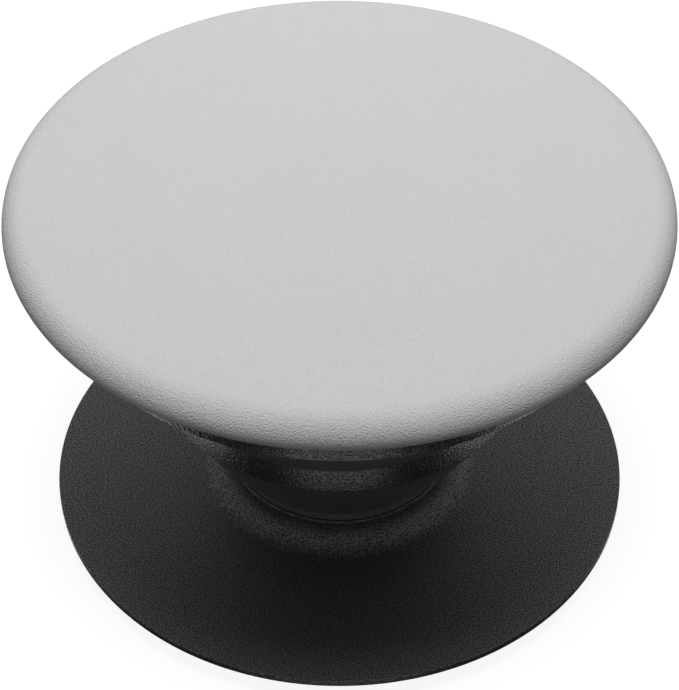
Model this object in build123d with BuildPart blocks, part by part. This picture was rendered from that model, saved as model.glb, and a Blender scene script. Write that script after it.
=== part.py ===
from build123d import *
import os
from math import asin, atan2, cos, degrees, radians, sin, tan

# Collapsible phone grip, pulled out: a round disc on a folding bellows over a flared base.
# Millimetres, +Z up the grip's axis, origin at the centre of the adhesive face.

# Whole grip
open_height = 25.4  # pulled out, from the adhesive face to the crown of the disc

# Adhesive pad
pad_thickness = 0.8
pad_inset = 0.8  # from the edge of the base's flat underside to the pad's edge
pad_rounding = 0.15

# Base
base_diameter = 36.74
base_thickness = 1.1
edge_land = 0.4  # upright part of the base's outer edge
edge_undercut = 1.0  # how far the underside draws in below the edge
edge_rounding = 0.06
neck_diameter = 14.5
neck_height = 1.9
neck_wall = 1.2
neck_land = 0.2  # upright part of the neck, above the sweep that rises from the deck
neck_rounding = 0.15

# Foot of the bellows, pushed through the neck like a grommet
foot_flange_diameter = 16.0
foot_flange_thickness = 0.55
foot_wall = 0.75
foot_clearance = 0.05

# Bellows: three stiff rings joined by two thin folding walls
neck_ledge = 0.3  # rim of the neck left showing round the lowest ring
lowest_ring_height = 0.4
lowest_ring_spread = 0.08  # how much wider the lowest ring is at its foot
lower_fold_rise = 7.3
middle_ring_diameter = 23.6
middle_ring_height = 1.74
disc_overhang = 2.55  # from the top ring's lower edge out to the disc's rim
top_ring_height = 2.85
ring_wall = 1.1
ring_draft = 0.5  # degrees that each ring opens upwards
ring_step = 0.3  # lower edge of a ring that stands out beyond the fold under it
ring_rounding = 0.06
fold_wall = 0.6
lower_fold_bulge = 0.3  # how far the lower fold bows out beyond a straight wall
hinge_wall = 0.4  # fold wall where it meets a ring
hinge_run = 0.9  # length over which a fold thins towards a ring

# Bead at the wide end of the bellows, which grips the lock plate's tongue
bead_width = 1.7
bead_drop = 0.5  # bead below the plate's underside
tongue_thickness = 0.45
tongue_reach = 0.8
seat_clearance = 0.1

# Top disc
disc_diameter = 39.7
rim_upper_radius = 1.5
rim_lower_radius = 1.0
dome_radius = 800.0
disc_wall = 1.2
twist_clearance = 0.25  # round the bead
ceiling_clearance = 0.2  # over the lock plate

# Quarter-turn lock
socket_depth = 0.5
plug_head_diameter = 11.0
bond_clearance = 0.05
stem_diameter = 7.0
stem_wall = 1.3
stem_clearance = 0.08
wing_reach = 1.45  # wing beyond the stem
wing_width = 3.4
wing_thickness = 1.05
wing_clearance = 0.1  # under the lock plate
wing_chamfer = 0.25
key_clearance = 0.15  # round the wings as they pass the keyhole

# Rise of the disc's crown above the middle of its rim
disc_radius = disc_diameter / 2
dome_slope = degrees(asin((disc_radius - rim_upper_radius) / (dome_radius - rim_upper_radius)))
crown_rise = dome_radius - (dome_radius - rim_upper_radius) * cos(radians(dome_slope))

# Heights, from the adhesive face up
z_underside = pad_thickness
z_deck = z_underside + base_thickness
z_neck = z_deck + neck_height
z_lower_fold = z_neck + lowest_ring_height
z_middle_ring = z_lower_fold + lower_fold_rise
z_upper_fold = z_middle_ring + middle_ring_height
z_rim_middle = open_height - crown_rise
z_rim = z_rim_middle - rim_lower_radius
z_top_ring = z_rim - top_ring_height
z_ceiling = z_rim_middle + rim_upper_radius - disc_wall
z_plate_top = z_ceiling - ceiling_clearance
z_socket = z_ceiling + socket_depth
z_wing_top = z_rim - wing_clearance
z_wing_bottom = z_wing_top - wing_thickness
z_tongue = (z_rim + z_plate_top) / 2

# Radii that pieces share
base_radius = base_diameter / 2
underside_radius = base_radius - edge_undercut
neck_radius = neck_diameter / 2
bore_radius = neck_radius - neck_wall
foot_radius = bore_radius - foot_clearance
foot_flange_radius = foot_flange_diameter / 2
ring_spread = tan(radians(ring_draft))
lowest_ring_radius = neck_radius - neck_ledge
middle_ring_radius = middle_ring_diameter / 2
top_ring_radius = disc_radius - disc_overhang
bead_radius = top_ring_radius + top_ring_height * ring_spread
bead_bore = bead_radius - bead_width
groove_radius = bead_bore + tongue_reach
recess_radius = bead_radius + twist_clearance
plug_head_radius = plug_head_diameter / 2
stem_radius = stem_diameter / 2
wing_radius = stem_radius + wing_reach


def band(inner, outer, low, high, spread=0.0):
    """Half section of a round band, whose outside may spread towards its foot."""
    return [(inner, low), (outer + spread, low), (outer, high), (inner, high)]


def ring(radius, low, height):
    """Half section of a stiff ring, whose wall opens upwards."""
    top = radius + height * ring_spread
    return [(radius - ring_wall, low), (radius, low), (top, low + height), (top - ring_wall, low + height)]


def fold_inside(bottom, top):
    """Corners of a folding wall's inner side, from its top down, thinned to a hinge at each end."""
    tilt = atan2(top.X - bottom.X, top.Y - bottom.Y)
    along = Vector(sin(tilt), cos(tilt)) * hinge_run
    inward = Vector(-cos(tilt), sin(tilt)) * fold_wall
    hinge = Vector(hinge_wall / cos(tilt), 0)
    return top - hinge, top - along + inward, bottom + along + inward, bottom - hinge


with BuildPart() as adhesive_pad:
    with BuildSketch(Plane.XY):
        Circle(underside_radius - pad_inset)
    extrude(amount=pad_thickness)
    fillet(adhesive_pad.edges().group_by(Axis.Z)[0], radius=pad_rounding)

# The base is turned: thin at its edge, swept up into the neck, and recessed below for the bellows' foot.
flare_radius = neck_height - neck_land
foot_recess_radius = foot_flange_radius + foot_clearance
z_foot_recess = z_underside + foot_flange_thickness + foot_clearance

with BuildPart() as base_disc:
    with BuildSketch(Plane.XZ):
        with BuildLine():
            flare = CenterArc((neck_radius + flare_radius, z_deck + flare_radius), flare_radius, 180, 90)
            Polyline(
                flare @ 0,
                (neck_radius, z_neck),
                (bore_radius, z_neck),
                (bore_radius, z_foot_recess),
                (foot_recess_radius, z_foot_recess),
                (foot_recess_radius, z_underside),
                (underside_radius, z_underside),
                (base_radius, z_deck - edge_land),
                (base_radius, z_deck),
                flare @ 1,
            )
        make_face()
    revolve(axis=Axis.Z)
    rims = base_disc.edges().filter_by(GeomType.CIRCLE)
    fillet(rims.filter_by_position(Axis.Z, z_deck, z_deck).sort_by(SortBy.RADIUS)[-1], radius=edge_rounding)
    fillet(rims.filter_by_position(Axis.Z, z_neck, z_neck).sort_by(SortBy.RADIUS)[-1], radius=neck_rounding)

# The bellows is one moulding. Its foot passes down the neck and spreads under the base, and its bead holds the plate.
with BuildPart() as bellows:
    with BuildSketch(Plane.XZ):
        foot_bore = foot_radius - foot_wall
        z_foot = z_foot_recess - foot_flange_thickness
        Polygon(*band(foot_bore, foot_flange_radius, z_foot, z_foot_recess), align=None)
        Polygon(*band(foot_bore, foot_radius, z_foot, z_neck), align=None)
        Polygon(*band(foot_bore, lowest_ring_radius, z_neck, z_lower_fold, lowest_ring_spread), align=None)
        Polygon(*ring(middle_ring_radius, z_middle_ring, middle_ring_height), align=None)
        Polygon(*ring(top_ring_radius, z_top_ring, top_ring_height), align=None)
        lower_bottom = Vector(lowest_ring_radius, z_lower_fold)
        lower_top = Vector(middle_ring_radius - ring_step, z_middle_ring)
        top_hinge, top_inside, bottom_inside, bottom_hinge = fold_inside(lower_bottom, lower_top)
        with BuildLine():
            SagittaArc(lower_bottom, lower_top, -lower_fold_bulge)
            Polyline(lower_top, top_hinge, top_inside)
            SagittaArc(top_inside, bottom_inside, lower_fold_bulge)
            Polyline(bottom_inside, bottom_hinge, lower_bottom)
        make_face()
        upper_bottom = Vector(middle_ring_radius + middle_ring_height * ring_spread, z_upper_fold)
        upper_top = Vector(top_ring_radius - ring_step, z_top_ring)
        Polygon(upper_bottom, upper_top, *fold_inside(upper_bottom, upper_top), align=None)
        Polygon(*band(bead_bore, bead_radius, z_rim, z_plate_top), align=None)
        Polygon(*band(bead_bore, bead_radius - ring_wall, z_rim - bead_drop, z_rim), align=None)
        groove_half = tongue_thickness / 2 + seat_clearance
        Polygon(
            *band(bead_bore, groove_radius, z_tongue - groove_half, z_tongue + groove_half),
            align=None,
            mode=Mode.SUBTRACT,
        )
    revolve(axis=Axis.Z)
    ring_feet = bellows.edges().filter_by(GeomType.CIRCLE)
    for z_foot_edge in (z_middle_ring, z_top_ring):
        foot_edges = ring_feet.filter_by_position(Axis.Z, z_foot_edge, z_foot_edge)
        fillet(foot_edges.sort_by(SortBy.RADIUS)[-1], radius=ring_rounding)

# The lock plate fills the wide end of the bellows. The plug's wings drop through its keyhole and turn under it.
with BuildPart() as lock_plate:
    with BuildSketch(Plane.XY.offset(z_rim)):
        Circle(bead_bore - seat_clearance)
    extrude(amount=z_plate_top - z_rim)
    with BuildSketch(Plane.XY.offset(z_tongue)):
        Circle(groove_radius - seat_clearance)
    extrude(amount=tongue_thickness / 2, both=True)
    with BuildSketch(Plane.XY.offset(z_rim)):
        Circle(wing_radius + key_clearance)
        Rectangle(wing_width + 2 * key_clearance, 2 * (wing_radius + key_clearance), mode=Mode.INTERSECT)
        Circle(stem_radius + stem_clearance)
    extrude(amount=z_plate_top - z_rim, mode=Mode.SUBTRACT)

# The top disc is turned: a very shallow dome, a round rim, and a hollow underside over the lock plate.
socket_radius = plug_head_radius + bond_clearance

with BuildPart() as top_disc:
    with BuildSketch(Plane.XZ):
        with BuildLine():
            dome = CenterArc((0, open_height - dome_radius), dome_radius, 90 - dome_slope, dome_slope)
            CenterArc((disc_radius - rim_upper_radius, z_rim_middle), rim_upper_radius, 0, 90 - dome_slope)
            lip = CenterArc((disc_radius - rim_lower_radius, z_rim_middle), rim_lower_radius, -90, 90)
            Polyline(
                lip @ 0,
                (recess_radius, z_rim),
                (recess_radius, z_ceiling),
                (socket_radius, z_ceiling),
                (socket_radius, z_socket),
                (0, z_socket),
                dome @ 1,
            )
        make_face()
    revolve(axis=Axis.Z)

# The lock plug is bonded into the disc by its head. Its stem turns in the plate, and its wings hold under it.
with BuildPart() as lock_plug:
    with BuildSketch(Plane.XY.offset(z_ceiling)):
        Circle(plug_head_radius)
    extrude(amount=socket_depth)
    with BuildSketch(Plane.XY.offset(z_wing_bottom)):
        Circle(stem_radius)
    extrude(amount=z_ceiling - z_wing_bottom)
    with BuildSketch(Plane.XY.offset(z_wing_bottom)):
        Circle(wing_radius)
        Rectangle(2 * wing_radius, wing_width, mode=Mode.INTERSECT)
    extrude(amount=wing_thickness)
    tips = lock_plug.edges().group_by(Axis.Z)[0].filter_by(GeomType.CIRCLE).sort_by(SortBy.RADIUS)[-2:]
    chamfer(tips, length=wing_chamfer)
    with BuildSketch(Plane.XY.offset(z_wing_bottom)):
        Circle(stem_radius - stem_wall)
    extrude(amount=z_ceiling - z_wing_bottom, mode=Mode.SUBTRACT)

pieces = {
    "adhesive_pad": adhesive_pad,
    "base_disc": base_disc,
    "bellows": bellows,
    "lock_plate": lock_plate,
    "top_disc": top_disc,
    "lock_plug": lock_plug,
}

os.makedirs("parts", exist_ok=True)
for name, piece in pieces.items():
    piece.part.label = name
    export_step(piece.part, f"parts/{name}.step")
    size = piece.part.bounding_box().size
    print(f"{name}: {size.X:.2f} x {size.Y:.2f} x {size.Z:.2f} mm, {piece.part.volume:.1f} mm3")
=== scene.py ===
# %% [markdown]
# # A collapsible phone grip
# The grip is a light grey disc on a black folding bellows, over a black base with a flared neck.
# The CAD model comes first and stays fixed. Every piece below is made in its frame: metres,
# +Z up the grip's axis, and the origin at the centre of the face that sticks to a phone.

# %% Load the CAD model
from math import asin, atan2, cos, degrees, pi, radians, sin, tan, tau

import bpy
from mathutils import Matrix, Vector


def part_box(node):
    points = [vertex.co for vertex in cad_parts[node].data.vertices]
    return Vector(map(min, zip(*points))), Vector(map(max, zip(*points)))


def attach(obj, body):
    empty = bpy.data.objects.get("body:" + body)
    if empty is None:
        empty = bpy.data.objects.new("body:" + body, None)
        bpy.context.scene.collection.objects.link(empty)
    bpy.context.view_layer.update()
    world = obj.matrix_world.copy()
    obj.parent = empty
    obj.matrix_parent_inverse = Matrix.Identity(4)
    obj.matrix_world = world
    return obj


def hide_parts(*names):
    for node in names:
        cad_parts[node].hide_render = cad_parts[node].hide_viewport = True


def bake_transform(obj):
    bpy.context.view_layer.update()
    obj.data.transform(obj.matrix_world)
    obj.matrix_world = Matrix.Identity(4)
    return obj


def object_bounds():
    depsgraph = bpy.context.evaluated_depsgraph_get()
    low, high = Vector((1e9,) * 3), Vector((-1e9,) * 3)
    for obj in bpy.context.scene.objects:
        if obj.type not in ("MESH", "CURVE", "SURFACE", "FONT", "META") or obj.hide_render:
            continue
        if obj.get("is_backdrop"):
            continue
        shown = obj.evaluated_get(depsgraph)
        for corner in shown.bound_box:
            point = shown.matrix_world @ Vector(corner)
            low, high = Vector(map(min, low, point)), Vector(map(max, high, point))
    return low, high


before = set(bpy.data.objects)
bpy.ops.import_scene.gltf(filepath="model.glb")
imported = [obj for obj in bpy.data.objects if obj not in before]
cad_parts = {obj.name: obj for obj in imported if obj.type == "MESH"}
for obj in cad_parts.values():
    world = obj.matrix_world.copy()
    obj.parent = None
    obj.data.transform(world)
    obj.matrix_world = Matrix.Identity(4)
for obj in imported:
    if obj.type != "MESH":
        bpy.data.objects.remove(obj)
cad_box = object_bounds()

MM = 0.001
print("CAD nodes:", ", ".join(sorted(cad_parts)))
print("CAD box, mm:", [[round(value / MM, 2) for value in corner] for corner in cad_box])

# %% [markdown]
# ## The camera
# The real grip was photographed from the front, well above the disc, with a long lens.
# The rims of the disc and of the base are circles, so their two ellipses in the picture give
# the height of the camera, its tilt and its lens. A camera is pointed by turning it away from
# straight down, so a tilt of 43 degrees below the horizon is a turn of 47 degrees about X.

# %% Camera
CAMERA_DISTANCE = 101.3  # in front of the grip's axis
CAMERA_HEIGHT = 107.7  # above the face that sticks to a phone
CAMERA_TILT = 43.29  # degrees below the horizon
CAMERA_LENS = 115.98  # on Blender's usual 36 mm sensor

bpy.ops.object.select_all(action="DESELECT")
bpy.ops.object.camera_add(
    location=(0, -CAMERA_DISTANCE * MM, CAMERA_HEIGHT * MM),
    rotation=(radians(90 - CAMERA_TILT), 0, 0),
)
camera = bpy.context.object
camera.name = "camera"
camera.data.lens = CAMERA_LENS
camera.data.clip_start = 1 * MM
bpy.context.scene.camera = camera
print("camera:", [round(value / MM, 1) for value in camera.location], "mm, lens", CAMERA_LENS)

# %% [markdown]
# ## Writing materials as sums
# A material is a tree of nodes, and a tree is hard to read as code. Here one small class wraps
# an output of a node, so that a sum such as `1 - mask` adds its Math node by itself. Every other
# node comes from one method: its type, then its settings, then what goes into its sockets.

# %% A value that can be added and multiplied
class Value:
    """An output of a node, as a number in Python sums."""

    def __init__(self, finish, socket):
        self.finish = finish
        self.socket = socket

    def math(self, operation, first, second):
        """A Math node on two values or numbers."""
        return self.finish.node("ShaderNodeMath", {"operation": operation}, {0: first, 1: second})

    def __add__(self, other):
        return self.math("ADD", self, other)

    def __radd__(self, other):
        return self.math("ADD", other, self)

    def __sub__(self, other):
        return self.math("SUBTRACT", self, other)

    def __rsub__(self, other):
        return self.math("SUBTRACT", other, self)

    def __mul__(self, other):
        return self.math("MULTIPLY", self, other)

    def __rmul__(self, other):
        return self.math("MULTIPLY", other, self)

    def clamped(self):
        """The value kept between 0 and 1."""
        return self.finish.node("ShaderNodeClamp", None, {"Value": self})


print("a value can be added, subtracted, multiplied and clamped")

# %% A finish, made of nodes
class Finish:
    """The node tree of a material or of the world."""

    def __init__(self, owner):
        owner.use_nodes = True
        self.tree = owner.node_tree
        self.tree.nodes.clear()

    def node(self, kind, settings=None, sockets=None, output=0):
        """Adds a node, sets it up, fills its sockets and gives one of its outputs."""
        made = self.tree.nodes.new(kind)
        for name, setting in (settings or {}).items():
            setattr(made, name, setting)
        for name, value in (sockets or {}).items():
            if isinstance(value, Value):
                self.tree.links.new(value.socket, made.inputs[name])
            else:
                made.inputs[name].default_value = value
        return Value(self, made.outputs[output]) if len(made.outputs) else made


def new_material(name):
    """A material with an empty tree, and the tree."""
    material = bpy.data.materials.new(name)
    return material, Finish(material)


print("materials are written with", Value.__name__, "and", Finish.__name__)

# %% [markdown]
# ## Moulded plastic with a fine grain
# The disc, the base and the rings of the bellows come from moulds whose steel was etched, which
# leaves a leathery grain about a fifth of a millimetre across. It is far too fine for geometry
# and shows only as a shimmer where light grazes it, so it is a bump, from a noise as wide as the
# grain. On the black pieces the peaks of the grain are polished by the mould and the valleys stay
# dull, which makes the specks in their shine: a clear coat lies on the peaks only. A second, much
# wider noise lets the tone and the roughness drift a little, as they do on any moulding. The tone
# also follows the grain itself, darker in its valleys and lighter on its peaks, which is painted
# shade. The smooth folds use the same function with a very shallow grain.

# %% Moulded finish
CLOUD_SCALE = 260.0  # drifts of tone about 4 mm across
CLOUD_DETAIL = 3.0
ROUGHNESS_DRIFT = 0.1
NOISE_MIDDLE = 0.5  # a noise swings about this value
PEAK_EDGE = 6  # how sharply the polish of a peak ends
POLISH_IOR = 1.65


def grey(level):
    """A neutral colour."""
    return (level, level, level, 1.0)


def moulded(name, tone, spread, roughness, shine, grain, depth, polish=0.0):
    """Moulded plastic: its tone and how far that strays, both in the wide drift and in the painted shade
    of the grain's valleys, its roughness and shine, the grain's width and depth in millimetres, and how
    polished the grain's peaks are."""
    material, finish = new_material(name)
    place = finish.node("ShaderNodeTexCoord", output="Object")
    swell = finish.node(
        "ShaderNodeTexNoise",
        {"noise_dimensions": "3D"},
        {"Vector": place, "Scale": 1 / (grain * MM), "Detail": 1.0, "Roughness": 0.5},
    )
    clouds = finish.node(
        "ShaderNodeTexNoise",
        None,
        {"Vector": place, "Scale": CLOUD_SCALE, "Detail": CLOUD_DETAIL},
    )
    # Half of the tone's mix is the wide drift, and half is the grain, which paints its valleys darker and
    # its peaks lighter: painted shade.
    colour = finish.node(
        "ShaderNodeMix",
        {"data_type": "RGBA"},
        {"Factor": 0.5 * clouds + 0.5 * swell, "A": grey(tone - spread), "B": grey(tone + spread)},
        output="Result",
    )
    bump = finish.node(
        "ShaderNodeBump",
        None,
        {"Strength": 1.0, "Distance": depth * MM, "Height": swell},
    )
    coat = 0.0
    if polish:
        peaks = NOISE_MIDDLE + PEAK_EDGE * (swell - NOISE_MIDDLE)
        coat = polish * peaks.clamped()
    surface = finish.node(
        "ShaderNodeBsdfPrincipled",
        None,
        {
            "Base Color": colour,
            "Roughness": roughness + ROUGHNESS_DRIFT * (clouds - NOISE_MIDDLE),
            "Specular IOR Level": shine,
            "Normal": bump,
            "Coat Weight": coat,
            "Coat Roughness": roughness,
            "Coat IOR": POLISH_IOR,
        },
    )
    finish.node("ShaderNodeOutputMaterial", None, {"Surface": surface})
    return material


print("drifts of tone are", round(1 / CLOUD_SCALE / MM, 1), "mm across")

# %% Finishes of the pieces
disc_finish = moulded(
    "disc_grey_plastic", tone=0.628, spread=0.006, roughness=0.6, shine=0.02,
    grain=0.1, depth=0.075,
)
base_finish = moulded(
    "base_black_plastic", tone=0.013, spread=0.002, roughness=0.53, shine=0.14,
    grain=0.095, depth=0.055, polish=0.85,
)
ring_finish = moulded(
    "ring_grained_elastomer", tone=0.012, spread=0.002, roughness=0.26, shine=0.36,
    grain=0.13, depth=0.07, polish=0.4,
)
# The folds' tone is lighter than the rings', though both are one black moulding: painted light that stands
# in for the light the shaded folds miss.
fold_painted_light_finish = moulded(
    "fold_smooth_elastomer_painted_light", tone=0.066, spread=0.004, roughness=0.38, shine=0.5,
    grain=0.5, depth=0.002,
)
lock_finish = moulded(
    "lock_black_plastic", tone=0.02, spread=0.002, roughness=0.4, shine=0.5,
    grain=0.3, depth=0.004,
)
pad_finish = moulded(
    "pad_black_adhesive", tone=0.03, spread=0.006, roughness=0.7, shine=0.4,
    grain=0.12, depth=0.03,
)
print("finishes:", ", ".join(sorted(material.name for material in bpy.data.materials)))

# %% [markdown]
# ## Turning a piece
# Every visible piece of the grip is round, as if turned on a lathe, so each is made the same way:
# its half section is drawn point by point with extrude, its corners are rounded with a vertex
# bevel, and spin carries the section round the axis. Drawing is done in millimetres, because the
# operators lose precision on very small meshes, and the finished mesh is scaled down to metres.
# How wide and how high a piece is comes from the box of its CAD node.

# %% Round stretches of a section
def arc(centre, radius, start, end, steps):
    """Points of a round stretch of a section, from one angle in degrees to another."""
    angles = [radians(start + (end - start) * step / steps) for step in range(steps + 1)]
    return [(centre[0] + radius * cos(angle), centre[1] + radius * sin(angle)) for angle in angles]


quarter = arc((0, 0), 1, 0, 90, 3)
print("a quarter circle in 3 steps:", [(round(x, 2), round(z, 2)) for x, z in quarter])

# %% Draw, round and spin a section
SPIN_STEPS = 288
ROUNDING_STEPS = 4
SAME_PLACE = 1e-4  # points closer than this are one point
SMOOTH_ANGLE = 30  # degrees, above which a bend between two faces stays an edge


def select_points(piece, wanted):
    """In edit mode, selects the points of a piece whose place passes a test."""
    bpy.ops.mesh.select_all(action="DESELECT")
    bpy.ops.object.mode_set(mode="OBJECT")
    for point in piece.data.vertices:
        point.select = wanted(point.co)
    bpy.ops.object.mode_set(mode="EDIT")


def round_corner(piece, before, corner, after, radius):
    """Rounds one corner of a drawn section, as wide as a circle of that radius needs."""
    place = Vector((corner[0], 0, corner[1]))
    back = Vector((before[0], 0, before[1])) - place
    ahead = Vector((after[0], 0, after[1])) - place
    select_points(piece, lambda co: (co - place).length < SAME_PLACE)
    run = radius / tan(back.angle(ahead) / 2)
    bpy.ops.mesh.bevel(offset=run, segments=ROUNDING_STEPS, affect="VERTICES")


def turned(name, section, roundings=()):
    """A piece turned from a half section of (radius, height) points. roundings are pairs of a point
    and a radius."""
    bpy.ops.object.select_all(action="DESELECT")
    bpy.ops.mesh.primitive_plane_add(size=1.0)
    piece = bpy.context.object
    piece.name = name
    piece.data.name = name
    bpy.ops.object.mode_set(mode="EDIT")
    bpy.ops.mesh.select_mode(type="VERT")
    bpy.ops.mesh.merge(type="CENTER")
    bpy.ops.transform.translate(value=(section[0][0], 0, section[0][1]))
    for (radius, height), (next_radius, next_height) in zip(section, section[1:]):
        step = (next_radius - radius, 0, next_height - height)
        bpy.ops.mesh.extrude_vertices_move(TRANSFORM_OT_translate={"value": step})
    bpy.ops.mesh.select_all(action="SELECT")
    bpy.ops.mesh.remove_doubles(threshold=SAME_PLACE)
    for corner, radius in roundings:
        index = section.index(corner)
        round_corner(piece, section[index - 1], corner, section[index + 1], radius)
    bpy.ops.mesh.select_all(action="SELECT")
    bpy.ops.mesh.spin(steps=SPIN_STEPS, angle=tau, center=(0, 0, 0), axis=(0, 0, 1))
    bpy.ops.mesh.select_all(action="SELECT")
    bpy.ops.mesh.remove_doubles(threshold=SAME_PLACE)
    bpy.ops.mesh.normals_make_consistent(inside=False)
    bpy.ops.transform.resize(value=(MM, MM, MM), center_override=(0, 0, 0))
    bpy.ops.object.mode_set(mode="OBJECT")
    bpy.ops.object.shade_smooth_by_angle(angle=radians(SMOOTH_ANGLE))
    sides = [round(side / MM, 2) for side in piece.dimensions]
    print(name, "has", len(piece.data.polygons), "faces and measures", sides, "mm")
    return piece


print("sections are turned in", SPIN_STEPS, "steps")

# %% Sizes from the CAD model
def reach(node):
    """A turned node's outer radius and its lowest and highest point, in millimetres."""
    low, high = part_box(node)
    return high.x / MM, low.z / MM, high.z / MM


for node in ("top_disc", "bellows", "base_disc"):
    print(node, "radius, foot and top:", [round(value, 2) for value in reach(node)], "mm")

# %% [markdown]
# ## The top disc
# The disc is the part that fingers feel: a plate with a very shallow dome and a soft round rim,
# hollow below so that it turns over the lock plate. Its outer form is three arcs that run into
# each other, the dome, the shoulder and the lip, so that no line shows in the shine of the rim.

# %% Top disc
RIM_UPPER = 1.5  # radius of the shoulder
RIM_LOWER = 1.0  # radius of the lip under it
DOME_RADIUS = 800.0
DISC_WALL = 1.2
TWIST_CLEARANCE = 0.25
SOCKET_RADIUS = 5.55
SOCKET_DEPTH = 0.5
LIP_ROUNDING = 0.2
DOME_STEPS = 20
SHOULDER_STEPS = 18
LIP_STEPS = 14

disc_radius, z_rim, z_apex = reach("top_disc")
bead_radius, z_foot, z_plate_top = reach("bellows")
z_shoulder = z_rim + RIM_LOWER
z_ceiling = z_shoulder + RIM_UPPER - DISC_WALL
z_socket = z_ceiling + SOCKET_DEPTH
dome_slope = degrees(asin((disc_radius - RIM_UPPER) / (DOME_RADIUS - RIM_UPPER)))
recess_radius = bead_radius + TWIST_CLEARANCE

dome = arc((0, z_apex - DOME_RADIUS), DOME_RADIUS, 90, 90 - dome_slope, DOME_STEPS)
shoulder = arc((disc_radius - RIM_UPPER, z_shoulder), RIM_UPPER, 90 - dome_slope, 0, SHOULDER_STEPS)
lip = arc((disc_radius - RIM_LOWER, z_shoulder), RIM_LOWER, 0, -90, LIP_STEPS)
underside = [
    (recess_radius, z_rim),
    (recess_radius, z_ceiling),
    (SOCKET_RADIUS, z_ceiling),
    (SOCKET_RADIUS, z_socket),
    (0, z_socket),
]
top_disc = turned(
    "grip_disc",
    dome + shoulder[1:] + lip[1:] + underside,
    [((recess_radius, z_rim), LIP_ROUNDING)],
)
top_disc.data.materials.append(disc_finish)
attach(top_disc, "top")
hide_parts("top_disc")

# %% [markdown]
# ## The base
# The base is a thin plate that sweeps up into a short neck. It looks thinner than it is because
# its underside draws in below the edge. The sweep is one concave arc that leaves the flat deck
# smoothly, and the neck's rim is rounded, which gives the thin light line round the bellows.

# %% Base
BASE_THICKNESS = 1.1
EDGE_LAND = 0.4  # upright part of the edge
EDGE_UNDERCUT = 1.0  # how far the underside draws in below it
EDGE_ROUNDING = 0.06
NECK_RADIUS = 7.25
NECK_WALL = 1.2
NECK_ROUNDING = 0.15
NECK_LAND = 0.2  # upright part of the neck, above the sweep
FOOT_CLEARANCE = 0.05
FLANGE_RADIUS = 8.0
FLANGE_THICKNESS = 0.55
FLARE_STEPS = 16

base_radius, z_underside, z_neck = reach("base_disc")
z_deck = z_underside + BASE_THICKNESS
z_flange = z_underside + FLANGE_THICKNESS + FOOT_CLEARANCE
bore_radius = NECK_RADIUS - NECK_WALL
flare_radius = z_neck - z_deck - NECK_LAND

flare_centre = (NECK_RADIUS + flare_radius, z_deck + flare_radius)
flare = arc(flare_centre, flare_radius, -180, -90, FLARE_STEPS)
edge = (base_radius, z_deck)
neck_rim = (NECK_RADIUS, z_neck)
base_section = [
    (bore_radius, z_neck),
    neck_rim,
    *flare,
    edge,
    (base_radius, z_deck - EDGE_LAND),
    (base_radius - EDGE_UNDERCUT, z_underside),
    (FLANGE_RADIUS + FOOT_CLEARANCE, z_underside),
    (FLANGE_RADIUS + FOOT_CLEARANCE, z_flange),
    (bore_radius, z_flange),
    (bore_radius, z_neck),
]
base_disc = turned("grip_base", base_section, [(edge, EDGE_ROUNDING), (neck_rim, NECK_ROUNDING)])
base_disc.data.materials.append(base_finish)
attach(base_disc, "base")
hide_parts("base_disc")

# %% [markdown]
# ## The bellows
# The bellows is one soft moulding. Three stiff rings, each wider than the one below, are joined by
# two thin walls that fold when the disc is pushed down. Its foot is pushed through the neck like
# a grommet, and its bead holds the lock plate. The whole wall is one closed section: up the
# outside, round the bead and its groove, and down the inside.

# %% Sections of the rings and folds
LOWEST_RING = 6.95  # outer radius at its upper edge
MIDDLE_RING = 11.8  # outer radius at its lower edge
RING_WALL = 1.1
RING_STEP = 0.3  # how far a ring's foot stands out beyond the fold under it
LOWEST_RING_SPREAD = 0.08  # how much wider the lowest ring is at its foot
RING_DRAFT = 0.5  # degrees that each ring opens upwards
RING_ROUNDING = 0.06
LOWER_FOLD_BULGE = 0.3  # how far the lower fold stands out beyond a straight wall
BOW_STEPS = 12
FOLD_WALL = 0.6
HINGE_WALL = 0.4
HINGE_RUN = 0.9  # length of the thinned end of a fold
FOOT_WALL = 0.75
BEAD_WIDTH = 1.7
BEAD_DROP = 0.5
GROOVE_REACH = 0.8
GROOVE_HEIGHT = 0.65

LOWEST_RING_HEIGHT = 0.4
LOWER_FOLD_RISE = 7.3
MIDDLE_RING_HEIGHT = 1.74
TOP_RING_HEIGHT = 2.85

z_lower_fold = z_neck + LOWEST_RING_HEIGHT
z_middle_ring = z_lower_fold + LOWER_FOLD_RISE
z_upper_fold = z_middle_ring + MIDDLE_RING_HEIGHT
z_top_ring = z_rim - TOP_RING_HEIGHT
ring_spread = tan(radians(RING_DRAFT))
top_ring_foot = bead_radius - TOP_RING_HEIGHT * ring_spread
middle_ring_top = MIDDLE_RING + MIDDLE_RING_HEIGHT * ring_spread
lower_fold = ((LOWEST_RING, z_lower_fold), (MIDDLE_RING - RING_STEP, z_middle_ring))
upper_fold = ((middle_ring_top, z_upper_fold), (top_ring_foot - RING_STEP, z_top_ring))


def bowed(start, end, bulge, steps):
    """Points of a shallow arc between two points. It stands out by the bulge to the right of the way,
    or to the left where the bulge is negative."""
    chord = Vector(end) - Vector(start)
    # The radius of an arc follows from its chord and its height.
    radius = chord.length_squared / (8 * abs(bulge)) + abs(bulge) / 2
    to_right = 1 if bulge > 0 else -1
    side = Vector((chord.y, -chord.x)).normalized() * to_right
    centre = (Vector(start) + Vector(end)) / 2 - side * (radius - abs(bulge))
    first = degrees(atan2(start[1] - centre.y, start[0] - centre.x))
    turn = 2 * degrees(asin(chord.length / 2 / radius)) * to_right
    return arc(centre, radius, first, first + turn, steps)


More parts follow.
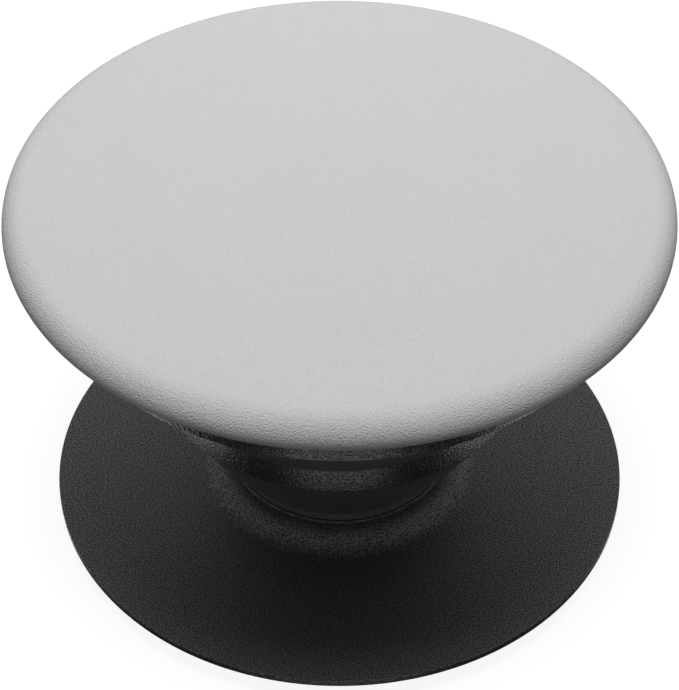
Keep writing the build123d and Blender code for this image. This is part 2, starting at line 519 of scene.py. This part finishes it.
def fold_inside(bottom, top):
    """Corners of a folding wall's inner side, from its top down, thinned to a hinge at each end."""
    tilt = atan2(top[0] - bottom[0], top[1] - bottom[1])
    along = (HINGE_RUN * sin(tilt), HINGE_RUN * cos(tilt))
    inward = (-FOLD_WALL * cos(tilt), FOLD_WALL * sin(tilt))
    hinge = HINGE_WALL / cos(tilt)
    upper = (top[0] - along[0] + inward[0], top[1] - along[1] + inward[1])
    lower = (bottom[0] + along[0] + inward[0], bottom[1] + along[1] + inward[1])
    return (top[0] - hinge, top[1]), upper, lower, (bottom[0] - hinge, bottom[1])


for name, fold in {"lower": lower_fold, "upper": upper_fold}.items():
    print(name, "fold runs between", [(round(r, 2), round(z, 2)) for r, z in fold], "mm")

# %% Bellows
foot_radius = bore_radius - FOOT_CLEARANCE
foot_bore = foot_radius - FOOT_WALL
bead_bore = bead_radius - BEAD_WIDTH
z_groove = (z_rim + z_plate_top) / 2
z_bead = z_rim - BEAD_DROP
bead_foot = bead_radius - BEAD_DROP * ring_spread - RING_WALL
middle_edge = (MIDDLE_RING, z_middle_ring)
top_edge = (top_ring_foot, z_top_ring)
top_hinge, top_inside, bottom_inside, bottom_hinge = fold_inside(*lower_fold)

outside = [
    (foot_bore, z_foot),
    (FLANGE_RADIUS, z_foot),
    (FLANGE_RADIUS, z_flange),
    (foot_radius, z_flange),
    (foot_radius, z_neck),
    (LOWEST_RING + LOWEST_RING_SPREAD, z_neck),
    *bowed(*lower_fold, LOWER_FOLD_BULGE, BOW_STEPS),
    middle_edge,
    *upper_fold,
    top_edge,
    (bead_radius, z_rim),
    (bead_radius, z_plate_top),
]
inside = [
    (bead_bore, z_plate_top),
    (bead_bore, z_groove + GROOVE_HEIGHT / 2),
    (bead_bore + GROOVE_REACH, z_groove + GROOVE_HEIGHT / 2),
    (bead_bore + GROOVE_REACH, z_groove - GROOVE_HEIGHT / 2),
    (bead_bore, z_groove - GROOVE_HEIGHT / 2),
    (bead_bore, z_bead),
    (bead_foot, z_bead),
    (top_ring_foot - RING_WALL, z_top_ring),
    *fold_inside(*upper_fold),
    (middle_ring_top - RING_WALL, z_upper_fold),
    (MIDDLE_RING - RING_WALL, z_middle_ring),
    top_hinge,
    *bowed(top_inside, bottom_inside, -LOWER_FOLD_BULGE, BOW_STEPS),
    bottom_hinge,
    (foot_bore, z_lower_fold),
    (foot_bore, z_foot),
]
bellows = turned(
    "grip_bellows",
    outside + inside,
    [(middle_edge, RING_ROUNDING), (top_edge, RING_ROUNDING)],
)

# %% [markdown]
# The rings are grained and the folds between them are smooth, as the mould was etched only where
# it is easy to reach. The folds and the rest of the moulding are also given a lighter grey than the
# rings, as painted light in their shade. Both finishes are on one mesh: the walls of the rings are
# picked out by their height and by facing outwards, and get the second material slot.

# %% Finishes of the bellows
FACING_OUT = 0.5  # least share of a face's direction that points away from the axis

bellows.data.materials.append(fold_painted_light_finish)
bellows.data.materials.append(ring_finish)
bpy.ops.object.mode_set(mode="EDIT")
bpy.ops.mesh.select_mode(type="FACE")
bpy.ops.mesh.select_all(action="DESELECT")
bpy.ops.object.mode_set(mode="OBJECT")
ring_heights = [(z_middle_ring, z_upper_fold), (z_top_ring, z_rim)]
for face in bellows.data.polygons:
    height = face.center.z / MM
    outward = Vector((face.center.x, face.center.y, 0)).normalized()
    faces_out = face.normal.dot(outward) > FACING_OUT
    face.select = faces_out and any(low < height < high for low, high in ring_heights)
print("grained faces:", sum(face.select for face in bellows.data.polygons))
bpy.ops.object.mode_set(mode="EDIT")
bellows.active_material_index = 1
bpy.ops.object.material_slot_assign()
bpy.ops.object.mode_set(mode="OBJECT")
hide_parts("bellows")

# %% [markdown]
# When the disc is pushed down, the rings stay stiff and drop inside each other, and only the folds
# bend. Here the share of the disc's travel that each point of the bellows makes is worked out and
# counted. A plain share by height would shear the rings, so each ring gets one share, none, half or
# all, and the folds run from one to the next.

# %% Travel shares of the bellows
MIDDLE_SHARE = 0.5  # of the disc's travel, made by the middle ring


def along_fold(fold, radius, height):
    """How far along a fold a point lies, from 0 at its lower ring to 1 at its upper one."""
    (low_radius, low), (high_radius, high) = fold
    run = Vector((high_radius - low_radius, high - low))
    way = Vector((radius - low_radius, height - low)).dot(run) / run.length_squared
    return min(max(way, 0.0), 1.0)


def travel_share(place):
    """The part of the disc's travel that a point of the bellows makes."""
    radius = place.xy.length / MM
    height = place.z / MM
    if height < z_lower_fold + SAME_PLACE:
        return 0.0
    if height < z_middle_ring - SAME_PLACE:
        return MIDDLE_SHARE * along_fold(lower_fold, radius, height)
    if height < z_upper_fold + SAME_PLACE:
        return MIDDLE_SHARE
    if height < z_top_ring - SAME_PLACE:
        return MIDDLE_SHARE + (1 - MIDDLE_SHARE) * along_fold(upper_fold, radius, height)
    return 1.0


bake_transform(bellows)
shares = [travel_share(point.co) for point in bellows.data.vertices]
for share in (0.0, MIDDLE_SHARE, 1.0):
    print(shares.count(share), "points make", share, "of the travel")

# %% [markdown]
# ## Lock and pad
# The lock plate, the plug that turns in it and the adhesive pad are right as the CAD model has
# them, so they keep its meshes and only get a finish.

# %% Lock and pad
PLAIN_NODES = {"lock_plate": lock_finish, "lock_plug": lock_finish, "adhesive_pad": pad_finish}

for node, finish in PLAIN_NODES.items():
    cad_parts[node].data.materials.clear()
    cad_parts[node].data.materials.append(finish)
    print(node, "is finished in", finish.name)

# %% [markdown]
# ## Floor and light
# The grip stands on white, in the even light of a tent: bright all round above, little from below.
# Light Path tells what kind of ray meets the floor. The camera sees a glow on top of its own shade,
# so that it is white with a faint shadow. In reflections it is a dark grey table, which keeps the
# undersides of the rims dark. The light that it throws on the grip is small, so that colours come
# out as they are written.

# %% Floor
FLOOR_SIZE = 4.0
FLOOR_GAP = 0.02  # below the pad, so that the two faces don't lie in one plane
FLOOR_SHADE = 0.18  # what the camera sees is this tone in the light, and a glow
FLOOR_GLOW = 0.9
FLOOR_TABLE = 0.1  # tone in reflections
FLOOR_BOUNCE = 0.03  # tone for the light that it throws on the grip


def any_ray(finish, *kinds):
    """1 where the ray that meets a surface is of one of the kinds, and 0 elsewhere."""
    rays = [finish.node("ShaderNodeLightPath", output=f"Is {kind} Ray") for kind in kinds]
    return sum(rays).clamped()


bpy.ops.object.select_all(action="DESELECT")
bpy.ops.mesh.primitive_plane_add(size=FLOOR_SIZE, location=(0, 0, -FLOOR_GAP * MM))
floor = bpy.context.object
floor.name = "floor"
floor_material, finish = new_material("floor_white")
shade = finish.node("ShaderNodeBsdfDiffuse", None, {"Color": grey(FLOOR_SHADE)})
glow = finish.node("ShaderNodeEmission", None, {"Color": grey(1.0), "Strength": FLOOR_GLOW})
white = finish.node("ShaderNodeAddShader", None, {0: shade, 1: glow})
table = finish.node("ShaderNodeBsdfDiffuse", None, {"Color": grey(FLOOR_TABLE)})
bounce = finish.node("ShaderNodeBsdfDiffuse", None, {"Color": grey(FLOOR_BOUNCE)})
in_reflections = any_ray(finish, "Glossy", "Transmission")
unseen = finish.node("ShaderNodeMixShader", None, {0: in_reflections, 1: bounce, 2: table})
surface = finish.node("ShaderNodeMixShader", None, {0: any_ray(finish, "Camera"), 1: unseen, 2: white})
finish.node("ShaderNodeOutputMaterial", None, {"Surface": surface})
floor.data.materials.append(floor_material)
floor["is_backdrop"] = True
print("floor", FLOOR_SIZE, "m across")

# %% [markdown]
# Black plastic shows little but what it reflects. So three white cards lie round the grip, as they
# would on a photographer's table: one in front, which lights the middle of each ring, and one on
# each side, which lights the ends of the middle ring. Only reflections see them.

# %% White cards
CARD_HEIGHT = 0.5  # above the face that sticks to a phone
CARDS = {  # middle across, middle along, width and length in millimetres, and glow
    "card_front": (0, -25.5, 16, 12, 1.15),
    "card_left": (-22.2, -7, 8.5, 16, 1.9),
    "card_right": (22.2, -7, 8.5, 16, 1.9),
}

for name, (across, along, width, length, strength) in CARDS.items():
    bpy.ops.object.select_all(action="DESELECT")
    bpy.ops.mesh.primitive_plane_add(size=MM, location=(across * MM, along * MM, CARD_HEIGHT * MM))
    card = bpy.context.object
    card.name = name
    card.scale = (width, length, 1)
    card_material, finish = new_material(name + "_white")
    glow = finish.node("ShaderNodeEmission", None, {"Color": grey(1.0), "Strength": strength})
    finish.node("ShaderNodeOutputMaterial", None, {"Surface": glow})
    card.data.materials.append(card_material)
    card.visible_camera = False
    card.visible_diffuse = False
    card.visible_shadow = False
    card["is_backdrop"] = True
print("cards:", ", ".join(CARDS))

# %% [markdown]
# The tent is brighter behind the grip than in front, as when its back wall is lit through the cloth.
# That wall is what the flat of the base mirrors, while the flare of the neck mirrors the front. The
# soft light that it sheds comes mostly from above and from the front, where the tent is open. Low
# behind the grip stands a white backdrop, which lights the far rim of the disc.

# %% World
AMBIENT = 0.21  # about the share of the light on the disc that comes from all round
AMBIENT_LOW = 0.3  # how bright that light is at the horizon, against an even sky
AMBIENT_FRONT = 0.9  # and how much of it moves from the back to the front
RISING_SKY = 1.5  # lets a sky that brightens with height shed as much as an even one
BACKDROP = 2.0  # glow of the white backdrop, which stands low behind the grip
BACKDROP_SIDES = 2  # how quickly it begins towards the back
BACKDROP_TOP = 3  # and how quickly it ends upwards
TENT_MIDDLE = 0.92  # how bright reflections see the tent beside the grip
TENT_RISE = 0.34  # and how much brighter at the back

world = bpy.data.worlds.new("light_tent")
bpy.context.scene.world = world
finish = Finish(world)
direction = finish.node("ShaderNodeTexCoord", output="Generated")
backwards = finish.node("ShaderNodeSeparateXYZ", None, {"Vector": direction}, output="Y")
upwards = finish.node("ShaderNodeSeparateXYZ", None, {"Vector": direction}, output="Z")
seen = any_ray(finish, "Camera")
mirrored = any_ray(finish, "Glossy", "Transmission")
reflected = mirrored * (TENT_MIDDLE + TENT_RISE * backwards)
rising = AMBIENT_LOW + RISING_SKY * (1 - AMBIENT_LOW) * upwards
sky = AMBIENT * (rising - AMBIENT_FRONT * backwards)
backdrop = BACKDROP * (BACKDROP_SIDES * backwards).clamped() * (1 - BACKDROP_TOP * upwards).clamped()
level = seen + reflected + (1 - seen - mirrored) * (sky.clamped() + backdrop)
tent = finish.node("ShaderNodeBackground", None, {"Color": grey(1.0), "Strength": level})
finish.node("ShaderNodeOutputWorld", None, {"Surface": tent})
print("ambient light", AMBIENT, "and a backdrop of", BACKDROP)

# %% [markdown]
# Two square lamps give most of the light, as softboxes do in a studio. A wide one hangs nearly
# overhead and a little to the front, which lights the disc evenly and lets its front rim fall off
# softly. A small one close behind makes the far side of the disc a little brighter. The power of
# each is worked out from the light that it should give, because a lamp farther off needs more.

# %% Softboxes
AIM_HEIGHT = 15  # what the lamps are aimed at, a little above the grip's middle
SOFTBOXES = {  # place from the aim and size, in metres, and share of full light
    "softbox_above": ((0, -0.05, 0.5), 0.14, 0.58),
    "softbox_behind": ((0, 0.05, 0.08), 0.04, 0.18),
}


def softbox(name, place, size, share):
    """A square lamp aimed at the grip, which gives a surface that faces it that share of full light."""
    away = Vector(place)
    bpy.ops.object.light_add(type="AREA", location=Vector((0, 0, AIM_HEIGHT * MM)) + away)
    lamp = bpy.context.object
    lamp.name = name
    lamp.rotation_euler = away.to_track_quat("Z", "Y").to_euler()
    lamp.data.size = size
    # A lamp of (pi * distance) squared watts makes a white surface that faces it just white.
    lamp.data.energy = share * (pi * away.length) ** 2
    print(name, round(lamp.data.energy, 3), "W")


for name, (place, size, share) in SOFTBOXES.items():
    softbox(name, place, size, share)

# %% [markdown]
# ## Output
# Colours are shown by the Standard transform, which leaves them as written. The two boxes printed
# at the end are those of the CAD model and of the finished model.

# %% Size and finish
bpy.context.scene.view_settings.view_transform = "Standard"
sizes = {"cad": [list(corner) for corner in cad_box], "visual": [list(corner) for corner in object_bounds()]}
for name, corners in sizes.items():
    print(name, "box, mm:", [[round(value / MM, 2) for value in corner] for corner in corners])
